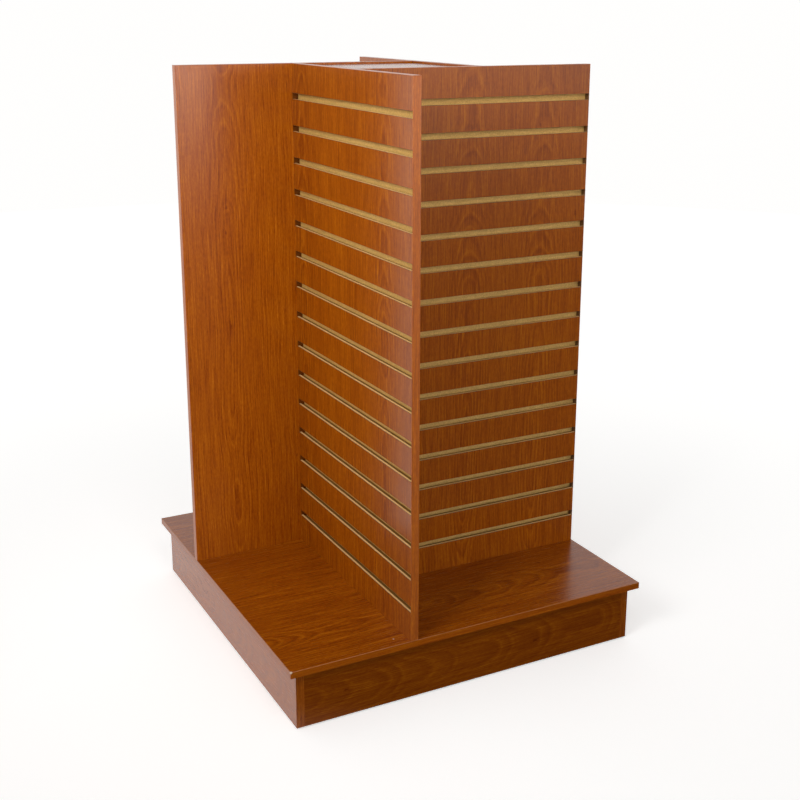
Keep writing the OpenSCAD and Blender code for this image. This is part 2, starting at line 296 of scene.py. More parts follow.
# The cherry print: growth rings round one or two columns, so that they close into arches along a
# column and run straight away from it, with bands, streaks, fibres and pores over them.
figureSizes = {
    "ringStep": 0.008,
    "ringBlend": 0.012,  # where the rings of the two columns meet
    "columnReach": (0.06, 0.02),  # lines gain their full strength between these distances from a column
    "awayLines": 0.2,  # and keep this part of it further away
    # where a line comes in and goes out, in parts of a ring, and its strength
    "darkLine": ((0.45, 0.86), (1.0, 0.9), -0.13),
    "paleLine": ((0.02, 0.16), (0.34, 0.18), 0.13),
    "poreEdges": (0.63, 0.72),
    "laterSeed": 7.3,
}
grainLayers = {
    # speckles to the metre across and along the grain, detail, roughness and strength, which is in
    # metres for these three: they move the columns, the arches along them and the rings
    "drift": (4, 1.6, 2.0, 0.5, 0.045),
    "arches": (0.5, 5, 2.0, 0.5, 0.05),
    "waver": (45, 7, 3.0, 0.5, 0.004),
    # and in shade for the others
    "bands": (42, 0.9, 3.0, 0.5, 0.2),
    "patches": (7, 3.0, 2.0, 0.5, 0.14),
    "figure": (240, 3, 3.0, 0.6, 0.27),
    "streaks": (620, 1.8, 2.0, 0.5, 0.5),
    "fibres": (800, 14, 2.0, 0.5, 1.2),
    "flecks": (420, 95, 2.0, 0.6, 0.6),
    "pores": (620, 26, 1.0, 0.5, -0.14),
}


def grain(tree, layer, across, along, seed):
    acrossRate, alongRate, detail, rough, _ = grainLayers[layer]
    x, y = calc(tree, "MULTIPLY", across, acrossRate), calc(tree, "MULTIPLY", along, alongRate)
    return speckle(tree, add(tree, "CombineXYZ", {0: x, 1: y, 2: seed}).outputs[0], detail, rough)


def strayed(tree, value, layer, noise):
    # a value moved up and down by one layer of the grain
    strength = grainLayers[layer][-1]
    return calc(tree, "MULTIPLY_ADD", calc(tree, "SUBTRACT", noise, 0.5), strength, value)


def makeCherryFigure():
    size = figureSizes
    takes = dict.fromkeys(("Place", "Across", "Along"), "Vector")
    takes |= dict.fromkeys(("Seed", "Column", "Second Column", "Arch Start", "Arch Rate", "Bend"), "Float")
    gives = dict.fromkeys(("Shade", "Pores", "Height"), "Float")
    tree, take, give = newGroup("cherryFigure", takes, gives)
    across = alongAxis(tree, take["Place"], take["Across"])
    along = alongAxis(tree, take["Place"], take["Along"])
    seed = take["Seed"]
    laterSeed = calc(tree, "ADD", seed, size["laterSeed"])

    swayed = calc(tree, "ADD", across, take["Bend"])
    swayed = strayed(tree, swayed, "drift", grain(tree, "drift", across, along, seed))
    height = calc(tree, "MULTIPLY", calc(tree, "SUBTRACT", along, take["Arch Start"]), take["Arch Rate"])
    height = strayed(tree, height, "arches", grain(tree, "arches", across, along, laterSeed))
    offs = [calc(tree, "SUBTRACT", swayed, take[label]) for label in ("Column", "Second Column")]
    ring = calc(tree, "SMOOTH_MIN", *(distance(tree, off, height) for off in offs), size["ringBlend"])
    ring = strayed(tree, ring, "waver", grain(tree, "waver", across, along, seed))
    step = calc(tree, "FRACT", calc(tree, "DIVIDE", ring, size["ringStep"]))
    nearest = calc(tree, "MINIMUM", *(calc(tree, "ABSOLUTE", off) for off in offs))
    near = between(tree, nearest, *size["columnReach"], size["awayLines"], 1.0)

    noises = {
        "bands": grain(tree, "bands", swayed, along, laterSeed),
        "patches": grain(tree, "patches", swayed, along, seed),
        "figure": grain(tree, "figure", ring, along, seed),
        "streaks": grain(tree, "streaks", swayed, along, seed),
        "fibres": grain(tree, "fibres", swayed, along, laterSeed),
        "flecks": grain(tree, "flecks", swayed, along, seed),
    }
    shade = 0.5
    for layer, noise in noises.items():
        shade = strayed(tree, shade, layer, noise)
    for name in ("darkLine", "paleLine"):
        comesIn, goesOut, strength = size[name]
        line = calc(tree, "MULTIPLY", between(tree, step, *comesIn), between(tree, step, *goesOut))
        shade = calc(tree, "MULTIPLY_ADD", calc(tree, "MULTIPLY", line, near), strength, shade)
    pores = between(tree, grain(tree, "pores", across, along, laterSeed), *size["poreEdges"])
    shade = calc(tree, "MULTIPLY_ADD", pores, grainLayers["pores"][-1], shade)
    tree.links.new(shade, give["Shade"])
    tree.links.new(pores, give["Pores"])
    tree.links.new(calc(tree, "SUBTRACT", noises["fibres"], pores), give["Height"])
    return tree


knotSizes = {
    "stretch": 0.4,  # a knot is longer along the grain than across it
    "frays": dict(rate=190, detail=3.0),
    "frayed": 1.1,
    "core": (1.5, 0.6),  # the dark comes in between these distances, in knot sizes
    "reach": (5.0, 0.5),  # and the grain steps aside between these
    "push": -0.35,
}


def makeKnotGroup():
    # one small knot: how dark it is, and how far the grain steps aside for it
    size = knotSizes
    takes = dict.fromkeys(("Place", "Across", "Along"), "Vector")
    takes |= dict.fromkeys(("Knot Across", "Knot Along", "Size"), "Float")
    tree, take, give = newGroup("smallKnot", takes, {"Dark": "Float", "Bend": "Float"})
    offs = []
    for direction, stretch in (("Across", 1.0), ("Along", size["stretch"])):
        at = alongAxis(tree, take["Place"], take[direction])
        step = calc(tree, "DIVIDE", calc(tree, "SUBTRACT", at, take["Knot " + direction]), take["Size"])
        offs.append(calc(tree, "MULTIPLY", step, stretch))
    away = distance(tree, *offs)
    frays = spots(tree, take["Place"], **size["frays"])
    core = calc(tree, "MULTIPLY_ADD", frays, size["frayed"], away)
    tree.links.new(between(tree, core, *size["core"]), give["Dark"])
    push = calc(tree, "MULTIPLY", offs[0], size["push"])
    push = calc(tree, "MULTIPLY", between(tree, away, *size["reach"]), push)
    tree.links.new(calc(tree, "MULTIPLY", push, take["Size"]), give["Bend"])
    return tree


grooveSizes = {
    "grooves": 15,
    "step": 0.0762,
    "throat": 0.014,
    "cavity": 0.022,
    "lip": 0.0055,
    "depth": 0.015,
    # half height and half width of the painted shade at a groove's end, from bare to full
    "endHeight": (0.0115, 0.0095),
    "endWidth": (0.0105, 0.009),
}


def makeGrooveHeight():
    # how far a height is from the middle of the nearest groove
    tree, take, give = newGroup("grooveHeight", {"Place": "Vector"}, {"Off Centre": "Float"})
    step = grooveSizes["step"]
    below = calc(tree, "SUBTRACT", heightOf(tree, take["Place"]), boardTop - step / 2)
    inStep = calc(tree, "FLOORED_MODULO", below, step)
    tree.links.new(calc(tree, "ABSOLUTE", calc(tree, "SUBTRACT", inStep, step / 2)), give["Off Centre"])
    return tree


def makeGrooveEndShade():
    # painted shade on the strip of a plain face that closes the ends of the next board's grooves
    takes = dict.fromkeys(("Place", "Across", "Deep"), "Vector")
    tree, take, give = newGroup("grooveEndShade", takes, {"Mask": "Float"})
    across, deep = (calc(tree, "ABSOLUTE", alongAxis(tree, take["Place"], take[label]))
                    for label in ("Across", "Deep"))
    offCentre = placeGroup(tree, grooveHeight, {"Place": take["Place"]})["Off Centre"]
    offMiddle = calc(tree, "ABSOLUTE", calc(tree, "SUBTRACT", across, -middleX))
    inHeight = between(tree, offCentre, *grooveSizes["endHeight"])
    inWidth = between(tree, offMiddle, *grooveSizes["endWidth"])
    onPlain = calc(tree, "LESS_THAN", deep, -middleX)
    tree.links.new(calc(tree, "MULTIPLY", calc(tree, "MULTIPLY", inHeight, inWidth), onPlain), give["Mask"])
    return tree


cherryFigure = makeCherryFigure()
smallKnot = makeKnotGroup()
grooveHeight = makeGrooveHeight()
grooveEndShade = makeGrooveEndShade()


# Cherry laminates

laminateLook = {
    "stops": [(0.1, (0.16, 0.026, 0.0006)), (0.4, (0.26, 0.054, 0.0010)),
              (0.6, (0.33, 0.078, 0.0014)), (0.9, (0.47, 0.140, 0.005))],
    "glossTint": (1.0, 0.88, 0.84, 1.0),
    "bump": (0.12, 0.0003),
    "poreRoughness": 0.08,
    "knotShade": -0.42,
    # colour of the painted shade at the ends of the next board's grooves
    "grooveEndShade": (0.11, 0.026, 0.002),
    "chip": (0.72, 0.58, 0.44),
    "chipCore": 0.6,  # part of a chip's size inside which it is bare
    "paintedEdgeHighlight": (0.38, 0.14, 0.045),  # a top edge painted pale: a painted highlight along its rounding
    "edgeHighlightDepth": 0.0015,
}


def makeLaminate(name, across, along, seed, columns=(0.9, -0.9), archStart=0.0, archRate=0.04, tint=1.0,
                 roughness=0.19, gloss=0.46, contrast=1.0, knots=(), shadedGrooveEnds=None, chips=(), topEdge=None):
    look = laminateLook
    material, tree, shader, place = newMaterial(name, roughness)
    shader.inputs["Specular IOR Level"].default_value = gloss
    shader.inputs["Specular Tint"].default_value = look["glossTint"]
    bend, dark = 0.0, 0.0
    for knotAcross, knotAlong, size in knots:
        knot = placeGroup(tree, smallKnot, {
            "Place": place, "Across": across, "Along": along, "Knot Across": knotAcross,
            "Knot Along": knotAlong, "Size": size,
        })
        bend, dark = calc(tree, "ADD", knot["Bend"], bend), calc(tree, "MAXIMUM", knot["Dark"], dark)
    figure = placeGroup(tree, cherryFigure, {
        "Place": place, "Across": across, "Along": along, "Seed": seed, "Column": columns[0],
        "Second Column": columns[1], "Arch Start": archStart, "Arch Rate": archRate, "Bend": bend,
    })
    shade = calc(tree, "MULTIPLY_ADD", figure["Shade"], contrast, 0.5 - 0.5 * contrast)
    shade = calc(tree, "MULTIPLY_ADD", dark, look["knotShade"], shade)
    stops = [(at, tuple(min(1, part * tint) for part in colour)) for at, colour in look["stops"]]
    colour = ramp(tree, shade, stops)
    # painted shade where the next board's grooves end on this plain face
    if shadedGrooveEnds:
        end = placeGroup(tree, grooveEndShade, {"Place": place, "Across": across, "Deep": shadedGrooveEnds})["Mask"]
        colour = overlay(tree, end, colour, look["grooveEndShade"])
    # painted highlight along the top edge
    if topEdge:
        edge = between(tree, heightOf(tree, place), topEdge - look["edgeHighlightDepth"], topEdge)
        colour = overlay(tree, edge, colour, look["paintedEdgeHighlight"])
    for *point, size in chips:
        away = add(tree, "VectorMath", {0: place, 1: point}, operation="DISTANCE").outputs["Value"]
        colour = overlay(tree, between(tree, away, size, size * look["chipCore"]), colour, look["chip"])
    tree.links.new(colour, shader.inputs["Base Color"])
    rough = calc(tree, "MULTIPLY_ADD", figure["Pores"], look["poreRoughness"], roughness)
    tree.links.new(rough, shader.inputs["Roughness"])
    bumpFrom(tree, shader, figure["Height"], *look["bump"])
    return material


# columns and knots as places across and along the grain, with a knot's size
# a board's tint lightens or darkens its whole laminate by side: painted light and shade
boardFigures = {
    "front": dict(seed=3.0, columns=(-0.33, 0.10), archStart=0.2, archRate=0.06, tint=0.93, contrast=1.1,
                  knots=((-0.05, 0.93, 0.003), (-0.30, 0.61, 0.0025))),
    "right": dict(seed=11.0, columns=(0.13, 0.33), archStart=0.45, archRate=0.1, tint=0.9, contrast=0.95,
                  knots=((0.127, 1.30, 0.0035), (0.135, 1.235, 0.0045), (0.13, 1.15, 0.004),
                         (0.318, 1.29, 0.0035), (0.32, 1.235, 0.003), (0.429, 1.018, 0.005))),
    "back": dict(seed=19.0, columns=(0.12, 0.38), archStart=0.3, archRate=0.06,
                 knots=((0.2, 0.52, 0.004), (-0.05, 1.12, 0.003))),
    "left": dict(seed=27.0, columns=(-0.346, 0.02), archStart=0.68, archRate=0.055, tint=1.06,
                 knots=((-0.346, 1.04, 0.004), (-0.350, 0.98, 0.003), (-0.346, 0.747, 0.0045),
                        (-0.18, 0.39, 0.003))),
}
bandFigures = {
    "end": dict(tint=1.18, roughness=0.33, gloss=0.7),
    "top": dict(tint=1.1, roughness=0.3, gloss=0.7),
}
bandSeeds = {"end": 3.0, "top": 5.0}  # past the board's own seed
boardLaminate, endBandLaminate, topBandLaminate = {}, {}, {}
for side in sides:
    seed = boardFigures[side]["seed"]
    across, deep = (forwards, sideways) if side in ("front", "back") else (sideways, forwards)
    boardLaminate[side] = makeLaminate(side + "BoardLaminate", across, upwards, shadedGrooveEnds=deep,
                                       **boardFigures[side])
    endBandLaminate[side] = makeLaminate(side + "EndBandLaminate", deep, upwards, seed + bandSeeds["end"],
                                         **bandFigures["end"])
    topBandLaminate[side] = makeLaminate(side + "TopBandLaminate", deep, across, seed + bandSeeds["top"],
                                         **bandFigures["top"])

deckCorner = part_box("deck_band_front")[0]
deckChips = (  # places and sizes
    (-0.2001, -0.429, deckTop, 0.0022),
    (deckCorner.x + 0.0006, deckCorner.y + 0.0006, deckTop, 0.0045),
)
# the deck's edge strips carry chips and the painted highlight along their top edge
stripFigure = dict(across=upwards, gloss=0.3, contrast=0.7, chips=deckChips, topEdge=deckTop)
baseFigures = {
    "deck": dict(across=forwards, along=sideways, seed=41.0, columns=(-0.32, 0.2), archStart=-0.9,
                 archRate=0.08, tint=1.04, roughness=0.24, gloss=0.55, contrast=1.35, chips=deckChips,
                 knots=((-0.405, 0.1135, 0.004), (-0.25, 0.30, 0.004))),
    "cap": dict(across=forwards, along=sideways, seed=47.0, columns=(0.02, 0.3), archStart=-0.3,
                archRate=0.06, tint=0.95, roughness=0.22, gloss=0.19),
    # the front kick's low tint is painted shade under the deck's overhang
    "kickFront": dict(across=upwards, along=sideways, seed=53.0, columns=(0.065, 0.3), archStart=-0.9,
                      archRate=0.12, tint=0.66, gloss=0.2, contrast=0.75,
                      knots=((0.065, -0.32, 0.003), (0.06, 0.17, 0.004))),
    "kickSide": dict(across=upwards, along=forwards, seed=59.0, columns=(0.06, 0.3), archStart=0.9,
                     archRate=0.12, roughness=0.2, gloss=0.5, contrast=0.6),
    "kickEnd": dict(across=sideways, along=upwards, seed=71.0, tint=0.8),
    "frontStrip": dict(along=sideways, seed=61.0, **stripFigure),
    "sideStrip": dict(along=forwards, seed=67.0, **stripFigure),
}
baseLaminate = {part: makeLaminate(part + "Laminate", **figure) for part, figure in baseFigures.items()}


# Bare board, wood, metal and plastic

cutEdgeLook = {
    "stops": [(0.3, (0.09, 0.035, 0.010)), (0.7, (0.17, 0.08, 0.026))],
    "rate": 300,
    "roughness": 0.5,
}


def makeCutEdge():
    # the dark paper line where a cutter went through the laminate
    look = cutEdgeLook
    material, tree, shader, place = newMaterial("cutLaminateEdge", look["roughness"])
    tree.links.new(ramp(tree, spots(tree, place, look["rate"]), look["stops"]), shader.inputs["Base Color"])
    return material


fibreboardLook = {
    "stops": [(0.34, (0.40, 0.235, 0.060)), (0.5, (0.55, 0.325, 0.088)), (0.66, (0.71, 0.45, 0.145))],
    # a lighter copy of the same board for the upward-facing lips: painted light
    "litLipStops": [(0.34, (0.86, 0.51, 0.19)), (0.5, (0.95, 0.60, 0.25)), (0.66, (1.0, 0.68, 0.31))],
    "roughness": 0.75,
    # painted shade in the cavity behind each lip
    "shadeBehindLips": (0.24, 0.115, 0.022),
    "lipShadeHeights": (0.0018, 0.0034),  # heights behind a lip between which the painted shade comes in
    "cutterMarks": dict(rate=30, upRate=420, detail=3.0, rough=0.65),
    "fuzz": dict(rate=330, detail=4.0, rough=0.75),
    "fuzzShare": 0.75,  # against the cutter's marks
    "bump": (0.35, 0.0005),
}


def makeFibreboard(name, stops):
    # dusty routed board, with painted shade in the corners that the cutter left behind the lips
    look = fibreboardLook
    material, tree, shader, place = newMaterial(name, look["roughness"])
    marks = calc(tree, "MULTIPLY", spots(tree, place, **look["cutterMarks"]), 1 - look["fuzzShare"])
    mixed = calc(tree, "MULTIPLY_ADD", spots(tree, place, **look["fuzz"]), look["fuzzShare"], marks)
    offCentre = placeGroup(tree, grooveHeight, {"Place": place})["Off Centre"]
    mouth = grooveSizes["throat"] / 2
    # painted shade behind the lips, by height off each groove's middle
    lipShade = between(tree, offCentre, *(mouth + height for height in look["lipShadeHeights"]))
    colour = overlay(tree, lipShade, ramp(tree, mixed, stops), look["shadeBehindLips"])
    tree.links.new(colour, shader.inputs["Base Color"])
    bumpFrom(tree, shader, mixed, *look["bump"])
    return material


rawWoodLook = {
    "stops": [(0.1, (0.45, 0.27, 0.11)), (0.5, (0.66, 0.45, 0.22)), (0.9, (0.78, 0.58, 0.33))],
    "seed": 31.0,
    "columns": (0.0, 0.4),
    "archStart": -0.6,
    "archRate": 0.05,
    "roughness": 0.62,
    "bump": (0.3, 0.0004),
}


def makeRawWood(name, along):
    look = rawWoodLook
    material, tree, shader, place = newMaterial(name, look["roughness"])
    figure = placeGroup(tree, cherryFigure, {
        "Place": place, "Across": Vector((1, 1, 1)) - along, "Along": along, "Seed": look["seed"],
        "Column": look["columns"][0], "Second Column": look["columns"][1], "Arch Start": look["archStart"],
        "Arch Rate": look["archRate"], "Bend": 0.0,
    })
    tree.links.new(ramp(tree, figure["Shade"], look["stops"]), shader.inputs["Base Color"])
    bumpFrom(tree, shader, figure["Height"], *look["bump"])
    return material


metalFinishes = {
    "zincPlatedSteel": dict(colour=(0.66, 0.66, 0.62), roughness=0.32, bump=0.15),
    "castZinc": dict(colour=(0.52, 0.53, 0.54), roughness=0.45, bump=0.4),
}
metalLook = {
    "clouds": dict(rate=160, detail=3.0),
    "cloudStops": (0.35, 0.62),  # from the darker to the full colour
    "darker": 0.72,
    "dullEdges": (0.3, 0.7),
    "dull": 0.12,  # more roughness in the dark of the clouds
    "gritRate": 1500,
    "gritDepth": 0.0001,
}


def makeMetal(name, colour, roughness, bump):
    look = metalLook
    material, tree, shader, place = newMaterial(name, roughness, 1.0)
    cloud = spots(tree, place, **look["clouds"])
    dark = tuple(part * look["darker"] for part in colour)
    stops = list(zip(look["cloudStops"], (dark, colour)))
    tree.links.new(ramp(tree, cloud, stops), shader.inputs["Base Color"])
    rough = between(tree, cloud, *look["dullEdges"], roughness + look["dull"], roughness)
    tree.links.new(rough, shader.inputs["Roughness"])
    bumpFrom(tree, shader, spots(tree, place, look["gritRate"]), bump, look["gritDepth"])
    return material


plasticLook = {
    "stops": [(0.45, (0.012, 0.012, 0.013)), (0.75, (0.045, 0.043, 0.04))],
    "scuffs": dict(rate=90, upRate=400, detail=4.0),
    "gritRate": 1800,
    "roughness": 0.48,
    "bump": (0.4, 0.0001),
}


def makePadPlastic():
    look = plasticLook
    material, tree, shader, place = newMaterial("blackPlastic", look["roughness"])
    scuffs = spots(tree, place, **look["scuffs"])
    tree.links.new(ramp(tree, scuffs, look["stops"]), shader.inputs["Base Color"])
    bumpFrom(tree, shader, spots(tree, place, look["gritRate"]), *look["bump"])
    return material


cutEdge = makeCutEdge()
bareFibreboard = makeFibreboard("bareFibreboard", fibreboardLook["stops"])
litLipFibreboard = makeFibreboard("litLipFibreboard", fibreboardLook["litLipStops"])
rawWoodUp = makeRawWood("rawWoodUpright", upwards)
rawWoodSideways = makeRawWood("rawWoodSideways", sideways)
rawWoodForwards = makeRawWood("rawWoodForwards", forwards)
zincSteel, castZinc = (makeMetal(name, **finish) for name, finish in metalFinishes.items())
blackPlastic = makePadPlastic()
print("materials made:", len(bpy.data.materials))


# Tools for the pieces


def finishPiece(name, bm, materials, replaced, body=mainBody):
    bmesh.ops.recalc_face_normals(bm, faces=bm.faces)
    piece = placeMesh(name, bm, materials)
    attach(piece, body)
    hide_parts(*replaced)


def vertsIn(geom):
    return [part for part in geom if isinstance(part, bmesh.types.BMVert)]


def edgesOf(verts):
    # each edge once, in an order that every run repeats
    return list(dict.fromkeys(e for v in verts for e in v.link_edges))


def ease(bm, geom, width, segments=2, affect="EDGES"):
    bmesh.ops.bevel(bm, geom=geom, offset=width, offset_type="OFFSET", segments=segments, profile=0.5,
                    affect=affect, material=-1)


def addBlock(bm, low, high, edge, pick=None, segments=2):
    # a block with every edge eased, or those whose middle is picked
    cube = bmesh.ops.create_cube(bm, size=1)["verts"]
    bmesh.ops.scale(bm, vec=high - low, verts=cube)
    bmesh.ops.translate(bm, vec=(low + high) / 2, verts=cube)
    edges = [e for e in edgesOf(cube) if pick is None or pick((e.verts[0].co + e.verts[1].co) / 2)]
    ease(bm, edges, edge, segments)


def quarterTurns(bm, place):
    bmesh.ops.rotate(bm, verts=bm.verts, cent=(0, 0, 0), matrix=Matrix.Rotation(place * math.pi / 2, 3, "Z"))


def drawOutline(bm, start, moves):
    # a pen that pulls one vertex after another out of the last
    pen = bm.verts.new(start)
    outline = [pen]
    for move in moves:
        pen = bmesh.ops.extrude_vert_indiv(bm, verts=[pen])["verts"][0]
        bmesh.ops.translate(bm, vec=move, verts=[pen])
        outline.append(pen)
    return outline


# Grooved boards, with their banding

boardSizes = {
    **grooveSizes,
    "firstGroove": 0.0762,  # below the board's top
    "skin": 0.0009,  # laminate thickness that shows at a cut
    "throatEdge": 0.0006,
    "bandEdge": 0.0006,
}
laminateSlot, cutSlot, bareSlot, litLipSlot = range(4)


def grooveMoves(rise):
    # from the face into one groove and out again, going up, after a stretch of plain face
    size, inwards = boardSizes, sideways
    flank = (size["cavity"] - size["throat"]) / 2
    skin, lip, pocket = size["skin"], size["lip"] - size["skin"], size["depth"] - size["lip"]
    return [
        upwards * rise,
        inwards * skin, inwards * lip, -upwards * flank,
        inwards * pocket, upwards * size["cavity"],
        -inwards * pocket, -upwards * flank,
        -inwards * lip, -inwards * skin,
    ]


def isThroatEdge(edge):
    start, end = (v.co for v in edge.verts)
    onFace = abs(start.x - faceX) < nearly and abs(end.x - faceX) < nearly
    runsAlong = abs(start.y - end.y) > nearly
    return onFace and runsAlong and boardLow.z + nearly < start.z < boardHigh.z - nearly


def drawBoard():
    # the front board's section, pulled along its length
    size, low, high = boardSizes, boardLow, boardHigh
    others = size["grooves"] - 1
    firstMiddle = boardTop - size["firstGroove"]
    lowest = firstMiddle - others * size["step"] - size["throat"] / 2
    highest = firstMiddle + size["throat"] / 2
    thick = sideways * (coreX - faceX)
    moves = grooveMoves(lowest - low.z) + others * grooveMoves(size["step"] - size["throat"])
    moves += [upwards * (high.z - highest), thick, upwards * (low.z - high.z), -thick]
    bm = bmesh.new()
    drawOutline(bm, (faceX, low.y, low.z), moves)
    bmesh.ops.remove_doubles(bm, verts=bm.verts, dist=1e-6)
    pulled = bmesh.ops.extrude_edge_only(bm, edges=bm.edges[:])["geom"]
    bmesh.ops.translate(bm, vec=forwards * (high.y - low.y), verts=vertsIn(pulled))
    bmesh.ops.holes_fill(bm, edges=[e for e in bm.edges if e.is_boundary], sides=0)
    ease(bm, [e for e in bm.edges if isThroatEdge(e)], size["throatEdge"])
    bmesh.ops.recalc_face_normals(bm, faces=bm.faces)
    return bm


def sortBoardFaces(bm):
    # laminate on both faces, its cut edge at the mouths, a lighter copy of the bare board on the upward lips
    # as painted light, bare board elsewhere
    size = boardSizes
    for face in bm.faces:
        middle, normal = face.calc_center_median(), face.normal
        onSkin = abs(normal.x) > 0.99 and min(abs(middle.x - faceX), abs(middle.x - coreX)) < nearly
        if onSkin:
            face.material_index = laminateSlot
        elif middle.x < faceX + size["skin"] and abs(normal.y) < 0.5:
            face.material_index = cutSlot
        # upward-facing lips get the lighter copy of the board: painted light
        elif middle.x < faceX + size["lip"] and normal.z > 0.2:
            face.material_index = litLipSlot
        else:
            face.material_index = bareSlot


def makeBoard(place):
    side = sides[place]
    bm = drawBoard()
    sortBoardFaces(bm)
    quarterTurns(bm, place)
    materials = [boardLaminate[side], cutEdge, bareFibreboard, litLipFibreboard]
    replaced = [side + "_board_" + layer for layer in ("back", "ribs", "slats")]
    finishPiece(side + "_board_panel", bm, materials, replaced)


def makeBoardBands(place):
    side, edge = sides[place], boardSizes["bandEdge"]
    low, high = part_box("front_board_end_band")
    bm = bmesh.new()
    addBlock(bm, low, high, edge, lambda at: at.y < low.y + nearly)
    bm.normal_update()
    for face in bm.faces:
        face.material_index = 1 if face.normal.y > 0.9 else 0  # its back takes the dark cut-edge colour where it closes the grooves: partly the band's raw back, partly painted shade
    quarterTurns(bm, place)
    materials = [endBandLaminate[side], cutEdge]
    finishPiece(side + "_end_banding", bm, materials, [side + "_board_end_band"])
    low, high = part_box("front_board_top_band")
    bm = bmesh.new()
    addBlock(bm, low, high, edge, lambda at: at.z > high.z - nearly)
    quarterTurns(bm, place)
    finishPiece(side + "_top_banding", bm, [topBandLaminate[side]], [side + "_board_top_band"])


for place in range(4):
    makeBoard(place)
    makeBoardBands(place)
print("boards made")


# Deck, kick and cap

baseSizes = {
    "deckEdge": 0.0002,
    "stripEdge": 0.0007,
    "kickEdge": 0.0003,
    "capEdge": 0.0006,
}


def makeDeck():
    bm = bmesh.new()
    addBlock(bm, *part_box("deck"), baseSizes["deckEdge"])
    finishPiece("deck_panel", bm, [baseLaminate["deck"]], ["deck"])
    for place, side in enumerate(sides):
        low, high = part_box("deck_band_" + side)
        outwards = 1 - place % 2
        farEdge = max(abs(low[outwards]), abs(high[outwards]))
        bm = bmesh.new()
        addBlock(bm, low, high, baseSizes["stripEdge"], lambda at: abs(at[outwards]) > farEdge - nearly, 3)
        strip = baseLaminate["frontStrip" if place % 2 == 0 else "sideStrip"]
        finishPiece("deck_strip_" + side, bm, [strip], ["deck_band_" + side])


def makeKick():
    for place, side in enumerate(sides):
        bm = bmesh.new()
        addBlock(bm, *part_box("kick_" + side), baseSizes["kickEdge"])
        laminate = baseLaminate["kickFront" if place % 2 == 0 else "kickSide"]
        finishPiece("kick_board_" + side, bm, [laminate], ["kick_" + side])
    low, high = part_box("kick_end_bands")
    kickThick = high.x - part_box("kick_front")[1].x
    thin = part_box("kick_left")[0].y - low.y
    bm = bmesh.new()
    for fromX in (low.x, high.x - kickThick):
        for fromY in (low.y, high.y - thin):
            corner = Vector((fromX, fromY, low.z))
            addBlock(bm, corner, corner + Vector((kickThick, thin, high.z - low.z)), baseSizes["kickEdge"])
    finishPiece("kick_end_strips", bm, [baseLaminate["kickEnd"]], ["kick_end_bands"])


def makeCap():
    bm = bmesh.new()
    addBlock(bm, *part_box("top_cap"), baseSizes["capEdge"])
    finishPiece("cap_panel", bm, [baseLaminate["cap"]], ["top_cap"])


makeDeck()
makeKick()
makeCap()
print("base and cap made")


# Screws, cam bolts, nuts and levelling feet

threadSizes = {
    "depth": 0.55,  # of the pitch
    "crest": 0.16,
    "steps": 20,  # to one turn
}


def drawnSince(bm, others):
    return [v for v in bm.verts if v not in others]


def addThread(bm, radius, pitch, low, high):
    # one tooth, spun up a helix and cut flat at both ends
    depth, crest, steps = pitch * threadSizes["depth"], pitch * threadSizes["crest"], threadSizes["steps"]
    slope = (pitch - crest) / 2
    others = set(bm.verts)
    moves = [(depth, 0, slope), (0, 0, crest), (-depth, 0, slope)]
    tooth = drawOutline(bm, (radius - depth, 0, low - pitch), moves)
    turns = math.ceil((high - low) / pitch) + 2
    bmesh.ops.spin(bm, geom=tooth + edgesOf(tooth), cent=(0, 0, 0), axis=(0, 0, 1),
                   dvec=(0, 0, pitch / steps), angle=turns * 2 * math.pi, steps=turns * steps)
    bmesh.ops.remove_doubles(bm, verts=drawnSince(bm, others), dist=pitch / 500)
    for height, upper in ((low, False), (high, True)):
        spun = drawnSince(bm, others)
        spun += [part for part in bm.edges[:] + bm.faces[:] if part.verts[0] not in others]
        cut = bmesh.ops.bisect_plane(bm, geom=spun, dist=1e-7, plane_co=(0, 0, height), plane_no=(0, 0, 1),
                                     clear_outer=upper, clear_inner=not upper)["geom_cut"]
        bmesh.ops.holes_fill(bm, edges=[g for g in cut if isinstance(g, bmesh.types.BMEdge)], sides=0)


def addRound(bm, start, moves, edge=0.0, closed=False, steps=32):
    # an outline with rounded corners, spun into a closed round form about the upright axis
    others = set(bm.verts)
    outline = drawOutline(bm, start, moves)
    if closed:
        bmesh.ops.contextual_create(bm, geom=[outline[0], outline[-1]])
    if edge:
        ease(bm, outline if closed else outline[1:-1], edge, 3, "VERTICES")
    drawn = drawnSince(bm, others)
    bmesh.ops.spin(bm, geom=drawn + edgesOf(drawn), cent=(0, 0, 0), axis=(0, 0, 1), angle=2 * math.pi,
                   steps=steps, use_merge=True)
    bmesh.ops.remove_doubles(bm, verts=drawnSince(bm, others), dist=1e-7)


crossHeadSizes = {
    "arm": 0.15,  # half width of the cross, in parts of the head's radius
    "reach": 0.55,
    "rim": 0.82,  # radius of the head's flat face
    "segments": 24,
    # each ring of the head: its width against the one before, and its rise in parts of the height
    "rings": ((1.14, 0.12), (1.07, 0.2), (1.0, 0.68), (0.45, 0.0)),
    "taper": 0.3,  # of the cross's arms, in half widths
    "sunk": 0.6,
}


